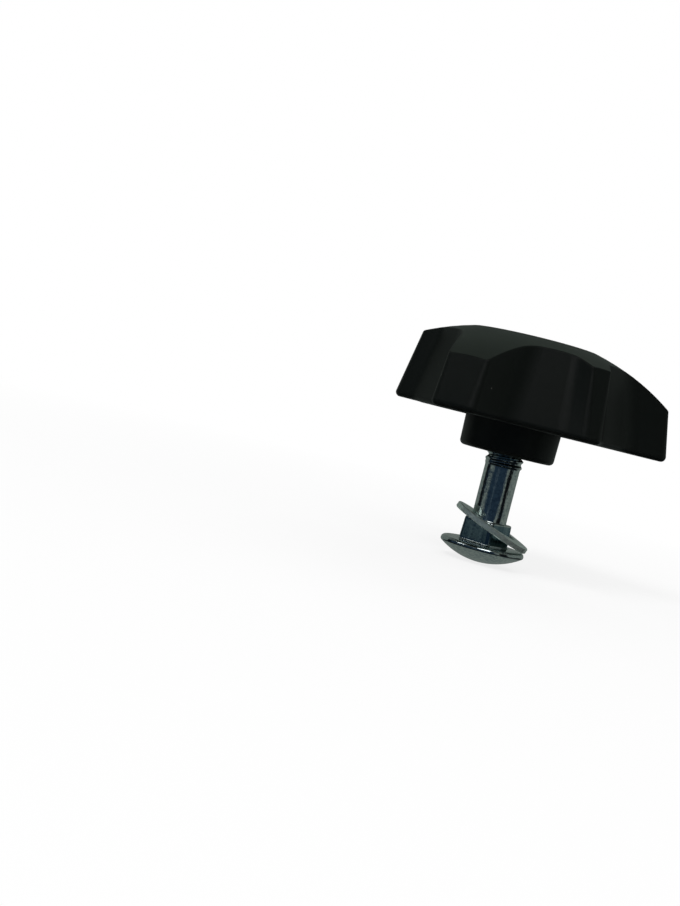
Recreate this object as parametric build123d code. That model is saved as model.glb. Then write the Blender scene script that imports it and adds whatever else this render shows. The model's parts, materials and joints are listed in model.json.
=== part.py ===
from build123d import *
from math import asin, cos, degrees, radians, sin, sqrt, tan
import os

# Star knob: a six-lobed plastic moulding with a captive hex nut, screwed onto a
# carriage bolt that carries a loose washer.  Millimetres.  Z is the bolt axis, the
# crown is up, and z = 0 is the lower end of the moulded boss.

# ---- moulded knob: outline ------------------------------------------------------
LOBES = 3                    # large lobes; a small lobe stands between each pair
SECTOR = 360 / LOBES         # one large lobe to the next
LARGE_REACH_RIM = 32.1       # axis to the flat tip of a large lobe, at the rim
LARGE_REACH_TOP = 28.0       # the same, at the draft plane
LARGE_HALF_RIM = 4.4         # half the width of that tip, corner to corner
LARGE_HALF_TOP = 4.1
SMALL_REACH_RIM = 25.7       # axis to the tip of a small lobe
SMALL_REACH_TOP = 22.1
SMALL_HALF_RIM = 1.9
SMALL_HALF_TOP = 2.4
FLANK_FOOT_RIM = (24.0, 17.7)   # foot of a large lobe's flank: radius, degrees off the lobe
FLANK_FOOT_TOP = (19.8, 21.3)
BUMP_FOOT_RIM = (22.9, 46.5)    # foot of a small lobe: radius, degrees off the large lobe
BUMP_FOOT_TOP = (19.4, 48.5)
TIP_ROUND_RIM = 2.2          # vertical corners are soft at the rim
TIP_ROUND_TOP = 0.35         # and almost sharp at the top
FLANK_ROUND = 9.0            # hollow between flank and valley
BUMP_ROUND_RIM = 6.0         # hollow at the foot of a small lobe
BUMP_ROUND_TOP = 3.0

# ---- moulded knob: heights ------------------------------------------------------
RIM_Z = 6.4                  # rim plane above the boss end
DRAFT_PLANE_Z = 25.5         # height at which the ..._TOP sizes hold
CROWN_R = 53.0               # spherical crown
CROWN_TOP_Z = 26.2           # its highest point, before the cap recess
RIM_EDGE_R = 1.0             # rounded bottom edge
CROWN_EDGE_R = 0.35          # crisp edge between crown and side wall

# ---- moulded knob: core -----------------------------------------------------------
WALL = 2.6                   # side wall
DECK = 2.8                   # crown wall
BOSS_R = 10.0                # boss at z = 0
BOSS_DRAFT = 1.5             # degrees
BOSS_EDGE_R = 1.0
RIB_THICK = 2.0
RIB_OFF_LOBE = 36.0          # degrees from a large lobe to each of its two ribs
RIB_ROOT = 1.4               # 45 degree gusset where a rib's lower edge meets the boss
RIB_SINK = 1.0               # how far a rib runs into the boss
CORE_EDGE_R = 1.2            # hollow corners of the core, in plan, at the rim
CORE_EDGE_TOP_R = 0.6        # and under the crown

# ---- cap recess and nut pocket ------------------------------------------------------
RECESS_R = 13.1
RECESS_FLOOR_Z = 22.6
RECESS_EDGE = 0.4            # chamfer round the recess
POCKET_FLATS = 14.3          # hex pocket at the recess floor, across flats
POCKET_DRAFT = 2.0           # degrees, narrowing downwards

# ---- captive nut ----------------------------------------------------------------------
NUT_FLATS = 12.7
NUT_HEIGHT = 6.75
NUT_TOP_Z = 12.6
NUT_CHAMFER = 30.0           # degrees, on both faces
NUT_FACE_R = 6.05            # chamfer circle on each face

# ---- carriage bolt ----------------------------------------------------------------------
BOLT_LENGTH = 38.1           # under the head
BOLT_END_Z = 18.9
THREAD_D = 7.94
THREAD_LENGTH = 21.6
SHANK_D = 7.4
END_CHAMFER = 0.7
NECK_SIDE = 7.6              # square neck
NECK_FLARE = 0.15            # each side, growing towards the head
NECK_HEIGHT = 4.9
NECK_CORNER_R = 0.9
NECK_TURN = 48.0             # degrees, turn of the square about the axis
HEAD_D = 17.8
HEAD_HEIGHT = 4.0
HEAD_EDGE = 1.1              # height of the head's upright edge
HEAD_EDGE_R = 0.3
HEAD_ROOT_R = 0.4            # round between neck and head

# ---- loose washer --------------------------------------------------------------------------
WASHER_OD = 17.5
WASHER_ID = 10.8
WASHER_THICK = 1.2
WASHER_EDGE = 0.15
WASHER_LEAN_WAY = -7.0       # degrees, the side on which it lies lower

# ---- clearances -------------------------------------------------------------------------------
THREAD_CLEARANCE = 0.05      # radial, nut on thread
BOLT_HOLE_CLEARANCE = 0.5    # radial, boss hole round the thread
WASHER_SIDE_GAP = 0.15       # washer bore to shank
WASHER_REST_GAP = 0.2        # washer to the top of the neck
WASHER_HEAD_GAP = 0.02       # washer to the head

# ---- sizes that follow ---------------------------------------------------------------------------
NUT_SEAT_Z = NUT_TOP_Z - NUT_HEIGHT
HEAD_FACE_Z = BOLT_END_Z - BOLT_LENGTH
NECK_TOP_Z = HEAD_FACE_Z + NECK_HEIGHT
THREAD_START_Z = BOLT_END_Z - THREAD_LENGTH
CROWN_CENTRE_Z = CROWN_TOP_Z - CROWN_R


def lobe_frame(along, aside, angle):
    """The point that lies `along` a lobe's direction and `aside` from it."""
    a = radians(angle)
    return along * cos(a) - aside * sin(a), along * sin(a) + aside * cos(a)


def star_corners(reach, half, foot, bump, small_reach, small_half):
    """The sharp corners of one outline, counter-clockwise, with the name of each."""
    corners = []
    for lobe in range(LOBES):
        large = lobe * SECTOR
        small = large + SECTOR / 2
        after = large + SECTOR
        corners += [
            ("tip", lobe_frame(reach, -half, large)),
            ("tip", lobe_frame(reach, half, large)),
            ("flank", lobe_frame(foot[0], 0, large + foot[1])),
            ("bump", lobe_frame(bump[0], 0, large + bump[1])),
            ("tip", lobe_frame(small_reach, -small_half, small)),
            ("tip", lobe_frame(small_reach, small_half, small)),
            ("bump", lobe_frame(bump[0], 0, after - bump[1])),
            ("flank", lobe_frame(foot[0], 0, after - foot[1])),
        ]
    return corners


def moved_inwards(points, inset):
    """The polygon with every side moved inwards by `inset`."""
    moved = []
    for i, here in enumerate(points):
        before = points[i - 1]
        after = points[(i + 1) % len(points)]
        n1 = inward_normal(before, here)
        n2 = inward_normal(here, after)
        scale = inset / (1 + n1[0] * n2[0] + n1[1] * n2[1])
        moved.append((here[0] + scale * (n1[0] + n2[0]), here[1] + scale * (n1[1] + n2[1])))
    return moved


def inward_normal(start, end):
    """Unit normal to the left of the line from start to end."""
    dx, dy = end[0] - start[0], end[1] - start[1]
    length = sqrt(dx * dx + dy * dy)
    return -dy / length, dx / length


def star_face(z, corners, rounds, inset=0.0):
    """A rounded star outline as a face at height z."""
    names = [name for name, _ in corners]
    points = moved_inwards([point for _, point in corners], inset)
    radii = [rounds[name] for name in names]
    wire = FilletPolyline(*points, radius=radii, close=True)
    return Pos(0, 0, z) * make_face(wire)


def rim_corners():
    return star_corners(
        LARGE_REACH_RIM, LARGE_HALF_RIM, FLANK_FOOT_RIM, BUMP_FOOT_RIM, SMALL_REACH_RIM, SMALL_HALF_RIM
    )


def top_corners():
    return star_corners(
        LARGE_REACH_TOP, LARGE_HALF_TOP, FLANK_FOOT_TOP, BUMP_FOOT_TOP, SMALL_REACH_TOP, SMALL_HALF_TOP
    )


def crown_ball(radius):
    return Pos(0, 0, CROWN_CENTRE_Z) * Sphere(radius)


def outer_form():
    """Drafted star prism under the spherical crown, with its edges rounded."""
    rim = star_face(RIM_Z, rim_corners(), {"tip": TIP_ROUND_RIM, "flank": FLANK_ROUND, "bump": BUMP_ROUND_RIM})
    top = star_face(
        DRAFT_PLANE_Z, top_corners(), {"tip": TIP_ROUND_TOP, "flank": FLANK_ROUND, "bump": BUMP_ROUND_TOP}
    )
    form = loft([rim, top], ruled=True) & crown_ball(CROWN_R)
    rim_edges = form.faces().sort_by(Axis.Z)[0].edges()
    form = fillet(rim_edges, RIM_EDGE_R)
    crown = form.faces().filter_by(GeomType.SPHERE)
    return fillet(crown.edges(), CROWN_EDGE_R)


def core_form():
    """The hollow under the crown, before the boss and the ribs stand in it."""
    rounds = {"tip": CORE_EDGE_R, "flank": FLANK_ROUND, "bump": BUMP_ROUND_RIM}
    rim = star_face(RIM_Z, rim_corners(), rounds, WALL)
    rounds_top = {"tip": CORE_EDGE_TOP_R, "flank": FLANK_ROUND, "bump": BUMP_ROUND_TOP}
    top = star_face(DRAFT_PLANE_Z, top_corners(), rounds_top, WALL)
    core = loft([rim, top], ruled=True) & crown_ball(CROWN_R - DECK)
    roof_z = RECESS_FLOOR_Z - DECK
    roof = Pos(0, 0, roof_z) * Cylinder(
        RECESS_R + DECK, DRAFT_PLANE_Z, align=(Align.CENTER, Align.CENTER, Align.MIN)
    )
    return core - roof


def boss():
    """Drafted column round the bolt and the nut, from z = 0 to the deck."""
    height = RECESS_FLOOR_Z
    top_r = BOSS_R + height * tan(radians(BOSS_DRAFT))
    column = Cone(BOSS_R, top_r, height, align=(Align.CENTER, Align.CENTER, Align.MIN))
    return fillet(column.edges().sort_by(Axis.Z)[0], BOSS_EDGE_R)


def rib(angle):
    """One upright rib from the boss to the side wall, its lower edge in the rim plane."""
    inner = BOSS_R - RIB_SINK
    outer = FLANK_FOOT_RIM[0] - WALL / 2
    boss_face = BOSS_R + RIM_Z * tan(radians(BOSS_DRAFT))
    low = RIM_Z - RIB_ROOT
    high = RECESS_FLOOR_Z - DECK / 2
    outline = Polyline(
        (inner, low), (boss_face, low), (boss_face + RIB_ROOT, RIM_Z), (outer, RIM_Z), (outer, high), (inner, high),
        close=True,
    )
    web = extrude(Plane.XZ.offset(-RIB_THICK / 2) * make_face(outline), RIB_THICK)
    return Rot(0, 0, angle) * web


def rib_angles():
    for lobe in range(LOBES):
        yield lobe * SECTOR + RIB_OFF_LOBE
        yield (lobe + 1) * SECTOR - RIB_OFF_LOBE


def hexagon_prism(flats, z_low, z_high, draft=0.0):
    """Hexagonal prism with a corner towards each lobe, `flats` across at its top."""
    height = z_high - z_low
    low_flats = flats - 2 * height * tan(radians(draft))
    low = Pos(0, 0, z_low) * RegularPolygon(low_flats / 2, 6, major_radius=False)
    high = Pos(0, 0, z_high) * RegularPolygon(flats / 2, 6, major_radius=False)
    return loft([low, high], ruled=True)


def cap_recess():
    """Round recess in the crown, with its chamfered edge."""
    edge_z = CROWN_CENTRE_Z + sqrt(CROWN_R**2 - RECESS_R**2)
    profile = Polyline(
        (0, RECESS_FLOOR_Z),
        (RECESS_R, RECESS_FLOOR_Z),
        (RECESS_R, edge_z - RECESS_EDGE),
        (RECESS_R + RECESS_EDGE + (CROWN_TOP_Z - edge_z), CROWN_TOP_Z),
        (0, CROWN_TOP_Z),
        close=True,
    )
    return revolve(Plane.XZ * make_face(profile), Axis.Z)


def knob_body():
    inside = outer_form()
    hollow = core_form()
    post = boss()
    ribs = [rib(angle) & inside for angle in rib_angles()]
    body = inside - hollow + post
    for web in ribs:
        body += web
    body -= cap_recess()
    body -= hexagon_prism(POCKET_FLATS, NUT_SEAT_Z, RECESS_FLOOR_Z, POCKET_DRAFT)
    hole_r = THREAD_D / 2 + BOLT_HOLE_CLEARANCE
    body -= Cylinder(hole_r, NUT_TOP_Z, align=(Align.CENTER, Align.CENTER, Align.CENTER))
    return body


def hex_nut():
    blank = hexagon_prism(NUT_FLATS, NUT_SEAT_Z, NUT_TOP_Z)
    corner_r = NUT_FLATS / sqrt(3)
    drop = (corner_r - NUT_FACE_R) * tan(radians(NUT_CHAMFER))
    profile = Polyline(
        (0, NUT_SEAT_Z),
        (NUT_FACE_R, NUT_SEAT_Z),
        (corner_r, NUT_SEAT_Z + drop),
        (corner_r, NUT_TOP_Z - drop),
        (NUT_FACE_R, NUT_TOP_Z),
        (0, NUT_TOP_Z),
        close=True,
    )
    nut = blank & revolve(Plane.XZ * make_face(profile), Axis.Z)
    bore = Pos(0, 0, NUT_SEAT_Z) * Cylinder(
        THREAD_D / 2 + THREAD_CLEARANCE, NUT_HEIGHT, align=(Align.CENTER, Align.CENTER, Align.MIN)
    )
    return nut - bore


def bolt_stem():
    """Shank and threaded end, turned."""
    r_shank, r_thread = SHANK_D / 2, THREAD_D / 2
    profile = Polyline(
        (0, NECK_TOP_Z),
        (r_shank, NECK_TOP_Z),
        (r_shank, THREAD_START_Z - (r_thread - r_shank)),
        (r_thread, THREAD_START_Z),
        (r_thread, BOLT_END_Z - END_CHAMFER),
        (r_thread - END_CHAMFER, BOLT_END_Z),
        (0, BOLT_END_Z),
        close=True,
    )
    return revolve(Plane.XZ * make_face(profile), Axis.Z)


def bolt_neck():
    """Square neck, a little wider where it meets the head."""
    foot = NECK_SIDE + 2 * NECK_FLARE
    low = Pos(0, 0, HEAD_FACE_Z) * RectangleRounded(foot, foot, NECK_CORNER_R)
    high = Pos(0, 0, NECK_TOP_Z) * RectangleRounded(NECK_SIDE, NECK_SIDE, NECK_CORNER_R)
    return Rot(0, 0, NECK_TURN) * loft([low, high], ruled=True)


def bolt_head():
    """Flat-faced round head with an upright edge and a domed end."""
    edge_r = HEAD_D / 2
    edge_z = HEAD_FACE_Z - HEAD_EDGE
    end_z = HEAD_FACE_Z - HEAD_HEIGHT
    rise = HEAD_HEIGHT - HEAD_EDGE
    dome_r = (edge_r**2 + rise**2) / (2 * rise)
    half_angle = asin(edge_r / dome_r) / 2
    mid = (dome_r * sin(half_angle), end_z + dome_r * (1 - cos(half_angle)))
    outline = Polyline((0, end_z), (0, HEAD_FACE_Z), (edge_r, HEAD_FACE_Z), (edge_r, edge_z))
    dome = ThreePointArc((edge_r, edge_z), mid, (0, end_z))
    head = revolve(Plane.XZ * make_face(outline + dome), Axis.Z)
    rims = head.edges().filter_by(GeomType.CIRCLE).group_by(Axis.Z)
    return fillet(rims[-1] + rims[-2], HEAD_EDGE_R)


def on_neck_foot(edge):
    """Whether an edge of the bolt lies where the square neck meets the head."""
    start, end = edge.position_at(0), edge.position_at(1)
    reach = NECK_SIDE / sqrt(2) + NECK_FLARE
    level = max(abs(start.Z - HEAD_FACE_Z), abs(end.Z - HEAD_FACE_Z))
    return level < 0.001 and sqrt(start.X**2 + start.Y**2) < reach


def carriage_bolt():
    bolt = bolt_head() + bolt_neck() + bolt_stem()
    root = [edge for edge in bolt.edges() if on_neck_foot(edge)]
    return fillet(root, HEAD_ROOT_R)


def washer():
    """Flat washer leaning on the edge of the neck's top, its low side on the head."""
    reach = (WASHER_OD + WASHER_ID) / 2
    lean = asin((NECK_HEIGHT + WASHER_REST_GAP) / reach)
    ring = Cylinder(WASHER_OD / 2, WASHER_THICK, align=(Align.CENTER, Align.CENTER, Align.MIN))
    ring -= Cylinder(WASHER_ID / 2, WASHER_THICK, align=(Align.CENTER, Align.CENTER, Align.MIN))
    ring = chamfer(ring.edges().filter_by(GeomType.CIRCLE), WASHER_EDGE)
    across = WASHER_ID / 2 * cos(lean) - WASHER_THICK * sin(lean) - SHANK_D / 2 - WASHER_SIDE_GAP
    up = HEAD_FACE_Z + WASHER_HEAD_GAP + WASHER_OD / 2 * sin(lean)
    seated = Pos(across, 0, up) * Rot(0, degrees(lean), 0) * ring
    return Rot(0, 0, WASHER_LEAN_WAY) * seated


def main():
    os.makedirs("parts", exist_ok=True)
    nodes = {
        "knob_body": knob_body(),
        "hex_nut": hex_nut(),
        "carriage_bolt": carriage_bolt(),
        "washer": washer(),
    }
    for name, shape in nodes.items():
        shape.label = name
        export_step(shape, f"parts/{name}.step")


main()
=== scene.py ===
"""Looks of the star knob: black moulded plastic, dark steel nut, bright zinc bolt and washer.

Metres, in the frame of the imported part: Z is the bolt axis, the crown of the knob is up.
"""
import json
from math import asin, cos, floor, pi, radians, sin, tan

import bpy
from mathutils import Matrix, Vector


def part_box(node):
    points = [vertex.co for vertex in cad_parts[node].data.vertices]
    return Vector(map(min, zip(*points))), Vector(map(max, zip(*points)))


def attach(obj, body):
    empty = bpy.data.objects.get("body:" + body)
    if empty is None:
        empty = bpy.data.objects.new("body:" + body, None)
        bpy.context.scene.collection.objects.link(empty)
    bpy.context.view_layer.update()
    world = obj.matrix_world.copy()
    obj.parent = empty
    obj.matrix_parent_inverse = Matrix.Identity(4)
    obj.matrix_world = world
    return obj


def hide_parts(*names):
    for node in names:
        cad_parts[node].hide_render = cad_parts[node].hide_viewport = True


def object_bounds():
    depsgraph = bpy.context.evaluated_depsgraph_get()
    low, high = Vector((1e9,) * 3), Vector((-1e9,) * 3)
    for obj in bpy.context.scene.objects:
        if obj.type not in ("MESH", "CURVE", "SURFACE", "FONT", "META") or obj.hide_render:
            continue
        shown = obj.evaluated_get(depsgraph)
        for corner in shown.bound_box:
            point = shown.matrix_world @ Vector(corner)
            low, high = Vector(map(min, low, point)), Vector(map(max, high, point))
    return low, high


MM = 0.001

# ---- camera: stands a little below the crown and is turned about its own axis -----------
CAMERA_PLACE = Vector((-35.66, -273.45, 5.41)) * MM
CAMERA_PAN = -0.41           # degrees
CAMERA_TILT = -2.83
CAMERA_ROLL = 14.1
CAMERA_LENS = 51.97          # on a 36 mm sensor

# ---- bolt -------------------------------------------------------------------------------
PITCH = 25.4 / 18 * MM       # 18 threads to the inch
THREAD_R = 3.97 * MM
THREAD_DEPTH = 0.613 * PITCH
THREAD_LENGTH = 21.6 * MM
CREST_SHARE = 0.16           # of the pitch, flat crest
ROOT_SHARE = 0.22            # and flat root
RUN_OUT = 2.6 * PITCH        # length over which the groove grows from nothing
CREST_GROWTH = 0.4 * PITCH   # and the crest from the shank
SHANK_R = 3.7 * MM
SHANK_FOOT_R = 0.2 * MM      # round between shank and neck
SHANK_FOOT_MID = 0.06 * MM   # how far its middle stands off both
END_CHAMFER = 0.7 * MM
NECK_HALF = 3.8 * MM
NECK_FLARE = 0.15 * MM
NECK_HEIGHT = 4.9 * MM
NECK_CORNER_R = 0.9 * MM
NECK_TURN = 48.0             # degrees
NECK_ROOT_R = 0.4 * MM
NECK_TOP_BREAK = 0.35 * MM
HEAD_HEIGHT = 4.0 * MM
HEAD_EDGE = 1.1 * MM
HEAD_EDGE_R = 0.35 * MM
HEAD_FACE_R = 0.8 * MM       # rounder where the edge meets the bearing face
DOME_TUCK = 0.55             # share of the edge's round that lies inside the dome's end
TURN_STEPS = 180             # columns round the bolt
DOME_ROWS = 40
NECK_ROWS = 12
SHANK_ROWS = 10
ROWS_PER_PITCH = 18
END_ROWS = 6

# ---- colours: darkest and lightest of each surface ----------------------------------------
WALL_TONES = (0.0020, 0.0031, 0.0024), (0.0032, 0.0047, 0.0037)
# crown tones are lighter and greener than the walls: a painted sheen of the light on its upward faces
CROWN_SHEEN_TONES = (0.0142, 0.0196, 0.0156), (0.0192, 0.0262, 0.0210)
DUST_TONE = (0.16, 0.17, 0.16)
STEEL_TONES = (0.10, 0.105, 0.105), (0.22, 0.225, 0.22)
BOLT_TONES = (0.34, 0.42, 0.47), (0.78, 0.84, 0.81)
# neck tones are a painted reflection: darker and bluer to stand for the dark room the neck faces
NECK_REFLECTION_TONES = (0.13, 0.22, 0.27), (0.34, 0.46, 0.50)
WASHER_TONES = (0.60, 0.73, 0.68), (0.78, 0.90, 0.84)
GRAIN_AND_SHEEN_FOOT = 6.5 * MM        # the crown's grain and painted sheen start above this height
DUST_SHARE = 0.55            # of the places where a speck may lie

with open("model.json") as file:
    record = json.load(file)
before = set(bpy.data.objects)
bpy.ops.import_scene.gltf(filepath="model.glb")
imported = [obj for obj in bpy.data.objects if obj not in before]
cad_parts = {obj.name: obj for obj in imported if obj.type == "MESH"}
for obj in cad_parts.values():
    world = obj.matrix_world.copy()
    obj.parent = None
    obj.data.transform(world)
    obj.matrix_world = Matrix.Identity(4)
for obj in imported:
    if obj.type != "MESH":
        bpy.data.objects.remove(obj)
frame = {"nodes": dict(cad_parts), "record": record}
CAD_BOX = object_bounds()


# ---- node helpers -------------------------------------------------------------------------
class Nodes:
    """Short calls for building one material's or the world's node tree."""

    def __init__(self, tree):
        self.tree = tree
        tree.nodes.clear()

    def add(self, kind, inputs=None, **settings):
        node = self.tree.nodes.new(kind)
        for name, value in settings.items():
            setattr(node, name, value)
        for name, value in (inputs or {}).items():
            self.put(value, node.inputs[name])
        return node

    def put(self, value, socket):
        if isinstance(value, bpy.types.NodeSocket):
            self.tree.links.new(value, socket)
        else:
            socket.default_value = value

    def math(self, operation, a, b=0.0, c=0.0, clamp=False):
        node = self.add("ShaderNodeMath", operation=operation, use_clamp=clamp)
        for socket, value in zip(node.inputs, (a, b, c)):
            self.put(value, socket)
        return node.outputs[0]

    def vector(self, operation, a, b=(0.0, 0.0, 0.0)):
        node = self.add("ShaderNodeVectorMath", operation=operation)
        self.put(a, node.inputs[0])
        self.put(b, node.inputs[1])
        return node.outputs["Value"] if operation in ("DOT_PRODUCT", "LENGTH") else node.outputs[0]

    def ramp(self, value, *stops):
        """Colour ramp: each stop is (position, grey or colour)."""
        node = self.add("ShaderNodeValToRGB", {"Fac": value})
        elements = node.color_ramp.elements
        while len(elements) < len(stops):
            elements.new(0.5)
        for element, (position, colour) in zip(elements, stops):
            element.position = position
            element.color = (*colour, 1) if isinstance(colour, tuple) else (colour, colour, colour, 1)
        return node.outputs["Color"]

    def mix(self, fac, a, b):
        node = self.add("ShaderNodeMix", data_type="RGBA")
        self.put(fac, node.inputs[0])
        self.put(a if isinstance(a, bpy.types.NodeSocket) else (*a, 1), node.inputs[6])
        self.put(b if isinstance(b, bpy.types.NodeSocket) else (*b, 1), node.inputs[7])
        return node.outputs[2]

    def noise(self, place, scale, detail=3.0, rough=0.5):
        inputs = {"Vector": place, "Scale": scale, "Detail": detail, "Roughness": rough}
        return self.add("ShaderNodeTexNoise", inputs).outputs["Fac"]

    def place(self, stretch=(1.0, 1.0, 1.0)):
        """Position on the piece in metres, scaled by `stretch`."""
        here = self.add("ShaderNodeTexCoord").outputs["Object"]
        return self.vector("MULTIPLY", here, stretch)

    def bump(self, height, strength, distance, below=None):
        inputs = {"Height": height, "Strength": strength, "Distance": distance}
        if below is not None:
            inputs["Normal"] = below
        return self.add("ShaderNodeBump", inputs).outputs["Normal"]

    def split(self, vector):
        return self.add("ShaderNodeSeparateXYZ", {"Vector": vector}).outputs

    def off_axis(self, place):
        """Distance from the bolt axis."""
        return self.vector("LENGTH", self.vector("MULTIPLY", place, (1.0, 1.0, 0.0)))

    def seen(self):
        """1 where the eye, a reflection or a glass looks at it; 0 where it only gives light."""
        path = self.add("ShaderNodeLightPath").outputs
        direct = self.math("MAXIMUM", path["Is Camera Ray"], path["Is Glossy Ray"])
        return self.math("MAXIMUM", direct, path["Is Transmission Ray"])


def material(name):
    """New material: itself, its node tree and the inputs of its shader."""
    made = bpy.data.materials.new(name)
    made.use_nodes = True
    nodes = Nodes(made.node_tree)
    shader = nodes.add("ShaderNodeBsdfPrincipled")
    nodes.add("ShaderNodeOutputMaterial", {"Surface": shader.outputs["BSDF"]})
    return made, nodes, shader.inputs


# ---- materials ----------------------------------------------------------------------------
def mount_size(name, key):
    """One size, in metres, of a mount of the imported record."""
    found = next(m for m in frame["record"]["mounts"] if m["name"] == name)
    return found["dims"][key] * MM


def crown_grain_and_sheen_share(nodes, here):
    """1 on the upward faces of the crown outside the cap recess, 0 on the walls and below; it places the
    grain and also the painted sheen, a lighter colour, there.
    """
    normal = nodes.split(nodes.add("ShaderNodeNewGeometry").outputs["Normal"])
    outside = nodes.math("GREATER_THAN", nodes.off_axis(here), mount_size("cap_recess", "r_mm"))
    above = nodes.math("GREATER_THAN", nodes.split(here)["Z"], GRAIN_AND_SHEEN_FOOT)
    upward = nodes.math("MULTIPLY_ADD", normal["Z"], 4.0, -2.8, clamp=True)
    return nodes.math("MULTIPLY", upward, nodes.math("MULTIPLY", outside, above))


def dust_share(nodes, here):
    """Small sparse specks of uneven size and strength."""
    speck = nodes.add("ShaderNodeTexVoronoi", {"Vector": here, "Scale": 380.0, "Randomness": 1.0})
    chance = nodes.split(speck.outputs["Color"])
    size = nodes.math("MULTIPLY", chance["Y"], 0.055)
    near = nodes.math("LESS_THAN", speck.outputs["Distance"], size)
    kept = nodes.math("GREATER_THAN", chance["X"], 1 - DUST_SHARE)
    return nodes.math("MULTIPLY", nodes.math("MULTIPLY", near, kept), chance["Z"])


def moulded_plastic():
    """Near-black plastic: grained on the crown and painted lighter there as a painted sheen, smoother on
    the walls and in the recess, a little dust.
    """
    made, nodes, shader = material("black_plastic")
    here = nodes.place()
    crown = crown_grain_and_sheen_share(nodes, here)
    cloud = nodes.noise(here, 90.0, 4.0)
    # the crown's upward faces take the lighter tones: painted sheen
    colour = nodes.mix(crown, nodes.mix(cloud, *WALL_TONES), nodes.mix(cloud, *CROWN_SHEEN_TONES))
    nodes.put(nodes.mix(dust_share(nodes, here), colour, DUST_TONE), shader["Base Color"])
    shader["Specular IOR Level"].default_value = 0.27
    shader["IOR"].default_value = 1.5
    smear = nodes.noise(nodes.place((1.0, 1.0, 0.35)), 160.0, 5.0)
    wall_rough = nodes.math("MULTIPLY_ADD", smear, 0.10, 0.38)
    nodes.put(nodes.math("MULTIPLY_ADD", crown, 0.06, wall_rough), shader["Roughness"])
    flow = nodes.noise(nodes.place((1.0, 1.0, 0.25)), 420.0, 2.0)
    waves = nodes.bump(flow, 0.25, 0.02 * MM)
    grain = nodes.noise(here, 3200.0, 2.0)
    grain_height = nodes.math("MULTIPLY", grain, nodes.math("MULTIPLY_ADD", crown, 0.7, 0.3))
    nodes.put(nodes.bump(grain_height, 0.35, 0.03 * MM, waves), shader["Normal"])
    return made


def oiled_steel():
    """Dark turned steel of the nut: tool rings on its faces and a film of oil."""
    made, nodes, shader = material("dark_steel")
    here = nodes.place()
    cloud = nodes.noise(here, 700.0, 4.0)
    nodes.put(nodes.mix(cloud, *STEEL_TONES), shader["Base Color"])
    shader["Metallic"].default_value = 1.0
    nodes.put(nodes.math("MULTIPLY_ADD", cloud, 0.22, 0.24), shader["Roughness"])
    rings = nodes.noise(nodes.off_axis(here), 5200.0, 3.0)
    nodes.put(nodes.bump(rings, 0.2, 0.02 * MM), shader["Normal"])
    return made


def zinc(name, tones, rough_low, rough_span):
    """Bright zinc plate: cloudy colour and a fine mottle that also makes it unevenly glossy."""
    made, nodes, shader = material(name)
    here = nodes.place()
    cloud = nodes.noise(here, 1500.0, 5.0, 0.7)
    patchy = nodes.math("MULTIPLY_ADD", cloud, 3.2, -0.95, clamp=True)
    nodes.put(nodes.mix(patchy, *tones), shader["Base Color"])
    shader["Metallic"].default_value = 1.0
    mottle = nodes.noise(here, 2600.0, 3.0, 0.6)
    nodes.put(nodes.math("MULTIPLY_ADD", mottle, rough_span, rough_low), shader["Roughness"])
    return made, nodes, shader, here, mottle


def neck_reflection_share(nodes, here):
    """1 between the foot and the top of the square neck, where the painted dark reflection goes."""
    height = nodes.split(here)["Z"]
    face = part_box("carriage_bolt")[0].z + HEAD_HEIGHT
    above = nodes.math("GREATER_THAN", height, face + NECK_ROOT_R)
    below = nodes.math("LESS_THAN", height, face + NECK_HEIGHT - NECK_TOP_BREAK)
    return nodes.math("MULTIPLY", above, below)


def plated_bolt():
    """Bright bolt; the faces of its neck are painted darker and bluer, a painted reflection of the dark
    room in front, and are streaked from cold forming.
    """
    made, nodes, shader, here, mottle = zinc("bolt_zinc_plate", BOLT_TONES, 0.05, 0.10)
    streaks = nodes.noise(nodes.place((1.0, 1.0, 0.06)), 1700.0, 3.0)
    streaky = nodes.math("MULTIPLY_ADD", streaks, 3.0, -1.0, clamp=True)
    plate = shader["Base Color"].links[0].from_socket
    # the neck takes the darker, bluer tones: painted reflection, with real streaks
    colour = nodes.mix(neck_reflection_share(nodes, here), plate, nodes.mix(streaky, *NECK_REFLECTION_TONES))
    nodes.put(colour, shader["Base Color"])
    ripple = nodes.noise(nodes.place((1.0, 1.0, 0.35)), 750.0, 3.0, 0.6)
    wavy = nodes.bump(ripple, 0.5, 0.14 * MM)
    drawn = nodes.bump(streaks, 0.30, 0.04 * MM, wavy)
    nodes.put(nodes.bump(mottle, 0.35, 0.05 * MM, drawn), shader["Normal"])
    return made


def plated_washer(centre, axis):
    """Duller zinc with faint rings about the washer's own axis."""
    made, nodes, shader, here, mottle = zinc("washer_zinc_plate", WASHER_TONES, 0.24, 0.16)
    shader["Metallic"].default_value = 0.88
    from_centre = nodes.vector("SUBTRACT", here, tuple(centre))
    height = nodes.vector("DOT_PRODUCT", from_centre, tuple(axis))
    reach = nodes.vector("LENGTH", from_centre)
    reach_squared = nodes.math("POWER", reach, 2.0)
    height_squared = nodes.math("POWER", height, 2.0)
    radius = nodes.math("SQRT", nodes.math("SUBTRACT", reach_squared, height_squared))
    rings = nodes.noise(radius, 4200.0, 3.0)
    turned = nodes.bump(rings, 0.25, 0.04 * MM)
    nodes.put(nodes.bump(mottle, 0.10, 0.02 * MM, turned), shader["Normal"])
    return made


def dress(node, made):
    """Gives a CAD node its material."""
    mesh = frame["nodes"][node].data
    mesh.materials.clear()
    mesh.materials.append(made)


# ---- bolt with its thread -------------------------------------------------------------------
def smooth(t):
    t = min(max(t, 0.0), 1.0)
    return t * t * (3 - 2 * t)


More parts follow.
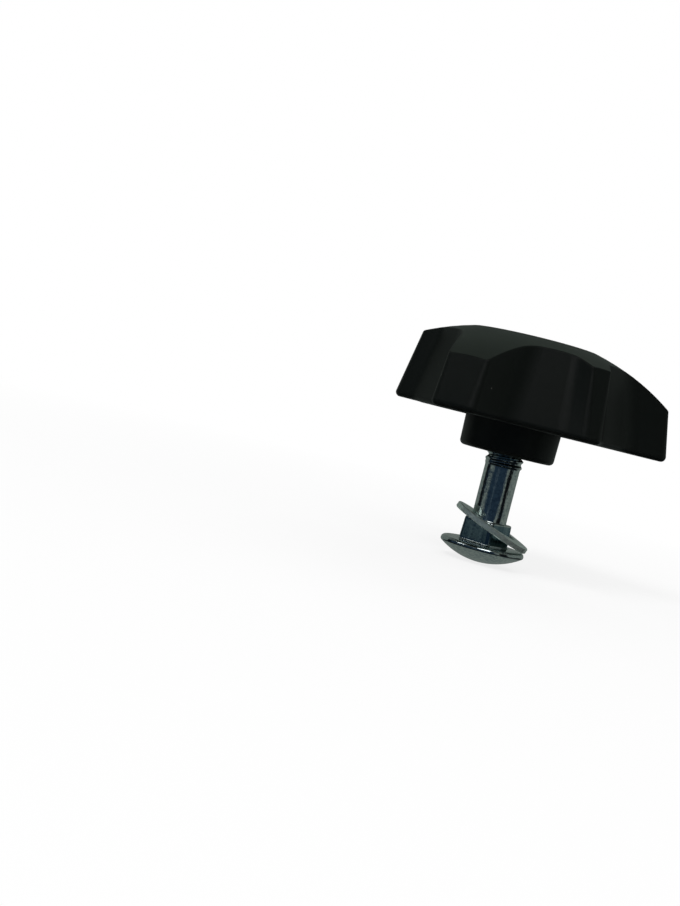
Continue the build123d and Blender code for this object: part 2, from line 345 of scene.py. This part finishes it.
def square_reach(angle, half, corner):
    """Distance from the axis to a square with rounded corners, `half` from axis to side."""
    a = (angle + pi / 4) % (pi / 2) - pi / 4
    flat = half / cos(a)
    inner = half - corner
    turn = abs(abs(a) - pi / 4)
    middle = inner * 2 ** 0.5
    if half * tan(abs(a)) <= inner:
        return flat
    return middle * cos(turn) + (corner ** 2 - (middle * sin(turn)) ** 2) ** 0.5


def thread_depth(z, angle, start):
    """How far the thread groove lies below the crest at this place."""
    phase = (z / PITCH - angle / (2 * pi)) % 1.0
    slope = (1 - CREST_SHARE - ROOT_SHARE) / 2
    off_crest = abs(phase - 0.5) - CREST_SHARE / 2
    share = min(max(off_crest / slope, 0.0), 1.0)
    return THREAD_DEPTH * share * min(max((z - start) / RUN_OUT, 0.0), 1.0)


def arc(centre, radius, start, end, steps):
    """Points (r, z) on an arc of the profile; angles in degrees from the outward direction."""
    for i in range(steps + 1):
        a = radians(start + (end - start) * i / steps)
        yield centre[0] + radius * cos(a), centre[1] + radius * sin(a)


# A row of the bolt is its height and its radius as a function of the angle.
def circle(z, radius):
    return z, lambda angle: radius


def square(z, half, outset=0.0):
    """The neck's section, grown by `outset` on every side."""
    turn = radians(NECK_TURN)
    return z, lambda angle: square_reach(angle - turn, half, NECK_CORNER_R) + outset


def blend(z, share, outer, inner):
    """A row `share` of the way out from the inner row to the outer one."""
    return z, lambda angle: share * outer[1](angle) + (1 - share) * inner[1](angle)


def thread(z, crest, start, limit):
    """A row of the thread, nowhere wider than `limit`."""
    return z, lambda angle: min(crest - thread_depth(z, angle, start), limit)


def head_rows(low, head_r):
    """The dome, from beside its pole, and the edge round to the bearing face."""
    face = low + HEAD_HEIGHT
    rise = HEAD_HEIGHT - HEAD_EDGE
    tuck = HEAD_EDGE_R * DOME_TUCK
    dome_r = (head_r ** 2 + rise ** 2) / (2 * rise)
    dome_end = asin((head_r - tuck) / dome_r)
    rows = []
    for i in range(1, DOME_ROWS + 1):
        a = dome_end * i / DOME_ROWS
        rows.append(circle(low + dome_r * (1 - cos(a)), dome_r * sin(a)))
    lower = arc((head_r - HEAD_EDGE_R, face - HEAD_EDGE + tuck), HEAD_EDGE_R, -40, 0, 5)
    upper = arc((head_r - HEAD_FACE_R, face - HEAD_FACE_R), HEAD_FACE_R, 0, 90, 9)
    return rows + [circle(z, r) for r, z in (*lower, *upper)]


def neck_rows(face, head_r):
    """In over the bearing face, up the square neck and in to the shank."""
    top = face + NECK_HEIGHT
    foot_half = NECK_HALF + NECK_FLARE
    rim = circle(face, head_r - HEAD_FACE_R)
    foot = square(face, foot_half, NECK_ROOT_R)
    rows = [blend(face, share, rim, foot) for share in (0.5, 0.15, 0.03)]
    for degrees in range(0, 91, 15):
        a = radians(degrees)
        rows.append(square(face + NECK_ROOT_R * (1 - cos(a)), foot_half, NECK_ROOT_R * (1 - sin(a))))
    side = NECK_HEIGHT - NECK_ROOT_R - NECK_TOP_BREAK
    for i in range(1, NECK_ROWS + 1):
        share = i / NECK_ROWS
        rows.append(square(face + NECK_ROOT_R + side * share, foot_half - NECK_FLARE * share))
    for degrees in (22.5, 45, 67.5, 90):
        a = radians(degrees)
        rows.append(square(top - NECK_TOP_BREAK * (1 - sin(a)), NECK_HALF, -NECK_TOP_BREAK * (1 - cos(a))))
    shoulder = square(top, NECK_HALF, -NECK_TOP_BREAK)
    shank_foot = circle(top, SHANK_R + SHANK_FOOT_R)
    rows += [blend(top, share, shoulder, shank_foot) for share in (0.6, 0.2)]
    rows.append(shank_foot)
    rows.append(circle(top + SHANK_FOOT_MID, SHANK_R + SHANK_FOOT_MID))
    rows.append(circle(top + SHANK_FOOT_R, SHANK_R))
    return rows


def shank_rows(top, high):
    """The plain shank above the neck, the thread and the chamfered end."""
    start = high - THREAD_LENGTH
    rows = []
    for i in range(1, SHANK_ROWS + 1):
        rows.append(circle(top + SHANK_FOOT_R + (start - top - SHANK_FOOT_R) * i / SHANK_ROWS, SHANK_R))
    step = PITCH / ROWS_PER_PITCH
    count = floor((high - END_CHAMFER - start) / step)
    for i in range(1, count + 1):
        z = start + step * i
        crest = SHANK_R + (THREAD_R - SHANK_R) * smooth((z - start) / CREST_GROWTH)
        rows.append(thread(z, crest, start, THREAD_R))
    for i in range(1, END_ROWS + 1):
        z = start + step * count + (high - start - step * count) * i / END_ROWS
        limit = THREAD_R - max(z - (high - END_CHAMFER), 0.0)
        rows.append(thread(z, THREAD_R, start, limit))
    last = rows[-1]
    axis = circle(high, 0.0)
    return rows + [blend(high, share, last, axis) for share in (0.85, 0.5, 0.2)]


def bolt_rows(low, high, head_r):
    """Rows of the whole bolt, from the head's pole to its end."""
    face = low + HEAD_HEIGHT
    return head_rows(low, head_r) + neck_rows(face, head_r) + shank_rows(face + NECK_HEIGHT, high)


def bolt_mesh():
    """The whole bolt as one closed skin."""
    low_corner, high_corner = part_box("carriage_bolt")
    rows = bolt_rows(low_corner.z, high_corner.z, (high_corner.x - low_corner.x) / 2)
    angles = [2 * pi * i / TURN_STEPS for i in range(TURN_STEPS)]
    points = [(0, 0, low_corner.z)]
    for z, radius in rows:
        points += [(radius(a) * cos(a), radius(a) * sin(a), z) for a in angles]
    points.append((0, 0, high_corner.z))
    faces = []
    for j in range(TURN_STEPS):
        k = (j + 1) % TURN_STEPS
        faces.append((0, 1 + k, 1 + j))
        for row in range(len(rows) - 1):
            a = 1 + row * TURN_STEPS
            b = a + TURN_STEPS
            faces.append((a + j, a + k, b + k, b + j))
        last = 1 + (len(rows) - 1) * TURN_STEPS
        faces.append((last + j, last + k, len(points) - 1))
    mesh = bpy.data.meshes.new("plated_bolt")
    mesh.from_pydata(points, [], faces)
    mesh.update()
    mesh.shade_smooth()
    mesh.set_sharp_from_angle(angle=radians(38))
    return mesh


def threaded_bolt():
    bolt = bpy.data.objects.new("plated_bolt", bolt_mesh())
    bpy.context.scene.collection.objects.link(bolt)
    bolt.data.materials.append(plated_bolt())
    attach(bolt, "bolt")
    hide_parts("carriage_bolt")


# ---- studio ---------------------------------------------------------------------------------
FLOOR_REACH = 4.0
FLOOR_DROP = 0.03 * MM       # floor below the part
WORLD_LIGHT = 0.4            # strength that lights the part; what is seen of the world is 1
ROOM_REACH = 2.2
ROOM_STEPS = 64
ROOM_DROP = 0.01 * MM        # tray of the dark room, just above the floor
ROOM_WALL_TOP = 1.6
ROOM_CEILING_Z = 2.2
ROOM_AXIS_R = 0.001 * MM     # the room closes almost at the axis
ROOM_GREY = (0.150, 0.172, 0.160)
ROOM_BLUE = (0.015, 0.028, 0.046)
ROOM_BLACK = (0.004, 0.005, 0.006)
ROOM_HAZE = (0.055, 0.075, 0.095)
ROOM_CEILING = (0.08, 0.09, 0.085)
STRIP_BLUR = 1.5             # degrees
ROOM_STRIPS = (              # edge between two strips: degrees to the right of the camera, left, right
    (-117, ROOM_GREY, ROOM_BLACK),
    (-87, ROOM_BLACK, ROOM_GREY),
    (-57, ROOM_GREY, ROOM_BLUE),
    (-29, ROOM_BLUE, ROOM_HAZE),
    (-23, ROOM_HAZE, ROOM_BLUE),
    (32, ROOM_BLUE, ROOM_GREY),
    (44, ROOM_GREY, ROOM_BLACK),
    (72, ROOM_BLACK, ROOM_GREY),
)
SCREEN_MIDDLE = -75.0        # degrees; dark screen against the far wall on the left
SCREEN_SPREAD = 27.0         # to each side of its middle
SCREEN_REACH = 500 * MM
PATCH_SPREAD = 115.0         # degrees to each side of the camera
PATCH_INNER = 12 * MM        # black ring on the table in front of the object
PATCH_OUTER = 62 * MM
PATCH_EDGE = 108 * MM        # blue-grey from there to here


def stage_disc(name, z, reach, steps=96):
    ring = [(reach * cos(2 * pi * i / steps), reach * sin(2 * pi * i / steps), z) for i in range(steps)]
    mesh = bpy.data.meshes.new(name)
    mesh.from_pydata(ring, [], [tuple(range(steps))])
    disc = bpy.data.objects.new(name, mesh)
    bpy.context.scene.collection.objects.link(disc)
    return disc


def pale_floor():
    """White floor, seen from above only: it keeps the soft shadow and runs out into the white behind."""
    made = bpy.data.materials.new("pale_floor")
    made.use_nodes = True
    nodes = Nodes(made.node_tree)
    reach = nodes.vector("LENGTH", nodes.place())
    far = nodes.math("MULTIPLY_ADD", reach, 5.0, -0.4, clamp=True)
    share = nodes.math("MULTIPLY_ADD", far, 0.2, 0.8)
    card = nodes.add("ShaderNodeBsdfDiffuse", {"Color": (0.9, 0.9, 0.9, 1)})
    glow = nodes.add("ShaderNodeEmission", {"Color": (1, 1, 1, 1), "Strength": 1.0})
    both = nodes.add("ShaderNodeMixShader", {0: nodes.math("MULTIPLY", nodes.seen(), share)})
    nodes.put(card.outputs[0], both.inputs[1])
    nodes.put(glow.outputs[0], both.inputs[2])
    from_below = nodes.add("ShaderNodeNewGeometry").outputs["Backfacing"]
    one_sided = nodes.add("ShaderNodeMixShader", {0: from_below})
    nodes.put(both.outputs[0], one_sided.inputs[1])
    nodes.put(nodes.add("ShaderNodeBsdfTransparent").outputs[0], one_sided.inputs[2])
    nodes.add("ShaderNodeOutputMaterial", {"Surface": one_sided.outputs[0]})
    floor_disc = stage_disc("floor", CAD_BOX[0][2] - FLOOR_DROP, FLOOR_REACH)
    floor_disc.data.materials.append(made)


def white_world():
    """White behind the object; the same world lights it at a plain level."""
    world = bpy.data.worlds.new("studio")
    bpy.context.scene.world = world
    world.use_nodes = True
    nodes = Nodes(world.node_tree)
    strength = nodes.math("MULTIPLY_ADD", nodes.seen(), 1 - WORLD_LIGHT, WORLD_LIGHT)
    sky = nodes.add("ShaderNodeBackground", {"Color": (1, 1, 1, 1), "Strength": strength})
    nodes.add("ShaderNodeOutputWorld", {"Surface": sky.outputs[0]})


def dark_room():
    """Grey studio that only reflections see: dark where the camera stands, paler round the back."""
    steps = ROOM_STEPS
    table = CAD_BOX[0][2] - ROOM_DROP
    profile = [(ROOM_AXIS_R, table), (0.1, table), (ROOM_REACH, table), (ROOM_REACH, ROOM_WALL_TOP)]
    profile += [(1.0, ROOM_CEILING_Z), (ROOM_AXIS_R, ROOM_CEILING_Z)]
    points = []
    for r, z in profile:
        points += [(r * cos(2 * pi * i / steps), r * sin(2 * pi * i / steps), z) for i in range(steps)]
    faces = []
    for row in range(len(profile) - 1):
        for i in range(steps):
            k = (i + 1) % steps
            faces.append((row * steps + i, row * steps + k, (row + 1) * steps + k, (row + 1) * steps + i))
    mesh = bpy.data.meshes.new("dark_room")
    mesh.from_pydata(points, [], faces)
    room = bpy.data.objects.new("dark_room", mesh)
    bpy.context.scene.collection.objects.link(room)
    mesh.materials.append(room_paint())
    room.visible_camera = False
    room.visible_diffuse = False
    room.visible_shadow = False


def room_paint():
    """Upright strips round the room, a dark patch on the table in front, a dimmer ceiling."""
    made = bpy.data.materials.new("dark_room")
    made.use_nodes = True
    nodes = Nodes(made.node_tree)
    here = nodes.place()
    xyz = nodes.split(here)
    across = nodes.math("ARCTAN2", xyz["X"], nodes.math("MULTIPLY", xyz["Y"], -1.0))
    share = nodes.math("MULTIPLY_ADD", across, 1 / (2 * pi), 0.5)
    stops = [(0.0, ROOM_GREY)]
    for edge, below, above in ROOM_STRIPS:
        stops += [(0.5 + (edge - STRIP_BLUR) / 360, below), (0.5 + (edge + STRIP_BLUR) / 360, above)]
    walls = nodes.ramp(share, *stops, (1.0, ROOM_GREY))
    flat = nodes.off_axis(here)
    front = nodes.math("COMPARE", across, 0.0, radians(PATCH_SPREAD))
    screen = nodes.math("COMPARE", across, radians(SCREEN_MIDDLE), radians(SCREEN_SPREAD))
    far = nodes.math("GREATER_THAN", flat, SCREEN_REACH)
    colour = nodes.mix(nodes.math("MULTIPLY", screen, far), walls, ROOM_BLUE)
    for edge, paint in ((PATCH_EDGE, ROOM_BLUE), (PATCH_OUTER, ROOM_BLACK), (PATCH_INNER, ROOM_GREY)):
        within = nodes.math("MULTIPLY", nodes.math("LESS_THAN", flat, edge), front)
        colour = nodes.mix(within, colour, paint)
    behind = nodes.math("SUBTRACT", 1.0, front)
    near_behind = nodes.math("MULTIPLY", nodes.math("LESS_THAN", flat, PATCH_EDGE), behind)
    colour = nodes.mix(near_behind, colour, ROOM_GREY)
    high = nodes.math("MULTIPLY_ADD", xyz["Z"], 1.0, -0.9, clamp=True)
    colour = nodes.mix(high, colour, ROOM_CEILING)
    glow = nodes.add("ShaderNodeEmission", {"Color": colour, "Strength": 1.0})
    nodes.add("ShaderNodeOutputMaterial", {"Surface": glow.outputs[0]})
    return made


def soft_lamp(name, place, size, power, mirrored=True):
    """Soft box aimed at the origin; one that isn't mirrored gives light but no highlight."""
    light = bpy.data.lights.new(name, "AREA")
    light.shape = "RECTANGLE"
    light.size, light.size_y = size
    light.energy = power
    lamp = bpy.data.objects.new(name, light)
    lamp.location = place
    lamp.rotation_euler = (-Vector(place)).to_track_quat("-Z", "Y").to_euler()
    lamp.visible_glossy = mirrored
    bpy.context.scene.collection.objects.link(lamp)


def lamps():
    soft_lamp("key", (-0.55, -0.80, 0.95), (0.45, 0.45), 8.0, mirrored=False)
    soft_lamp("front_glint", (0.02, -1.0, 0.95), (0.70, 0.55), 3.4)
    soft_lamp("side_glint", (-1.05, -0.30, 0.80), (0.40, 0.30), 0.8)
    soft_lamp("back", (0.35, 0.95, 0.80), (0.8, 0.5), 4.0, mirrored=False)


def camera():
    made = bpy.data.cameras.new("camera")
    made.lens = CAMERA_LENS
    made.sensor_width = 36.0
    made.clip_start = 0.005
    seen_from = bpy.data.objects.new("camera", made)
    turn = Matrix.Rotation(radians(CAMERA_PAN), 4, "Z") @ Matrix.Rotation(radians(90 + CAMERA_TILT), 4, "X")
    turn = turn @ Matrix.Rotation(radians(CAMERA_ROLL), 4, "Z")
    seen_from.matrix_world = Matrix.Translation(CAMERA_PLACE) @ turn
    bpy.context.scene.collection.objects.link(seen_from)
    bpy.context.scene.camera = seen_from


def washer_axis():
    """Centre and axis of the leaning washer, from its own mesh."""
    mesh = frame["nodes"]["washer"].data
    widest = max(mesh.polygons, key=lambda face: face.area)
    low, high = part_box("washer")
    return (low + high) / 2, widest.normal.copy()


def main():
    dress("knob_body", moulded_plastic())
    dress("hex_nut", oiled_steel())
    dress("washer", plated_washer(*washer_axis()))
    threaded_bolt()
    pale_floor()
    white_world()
    dark_room()
    lamps()
    camera()
    bpy.context.scene.view_settings.view_transform = "Standard"


main()
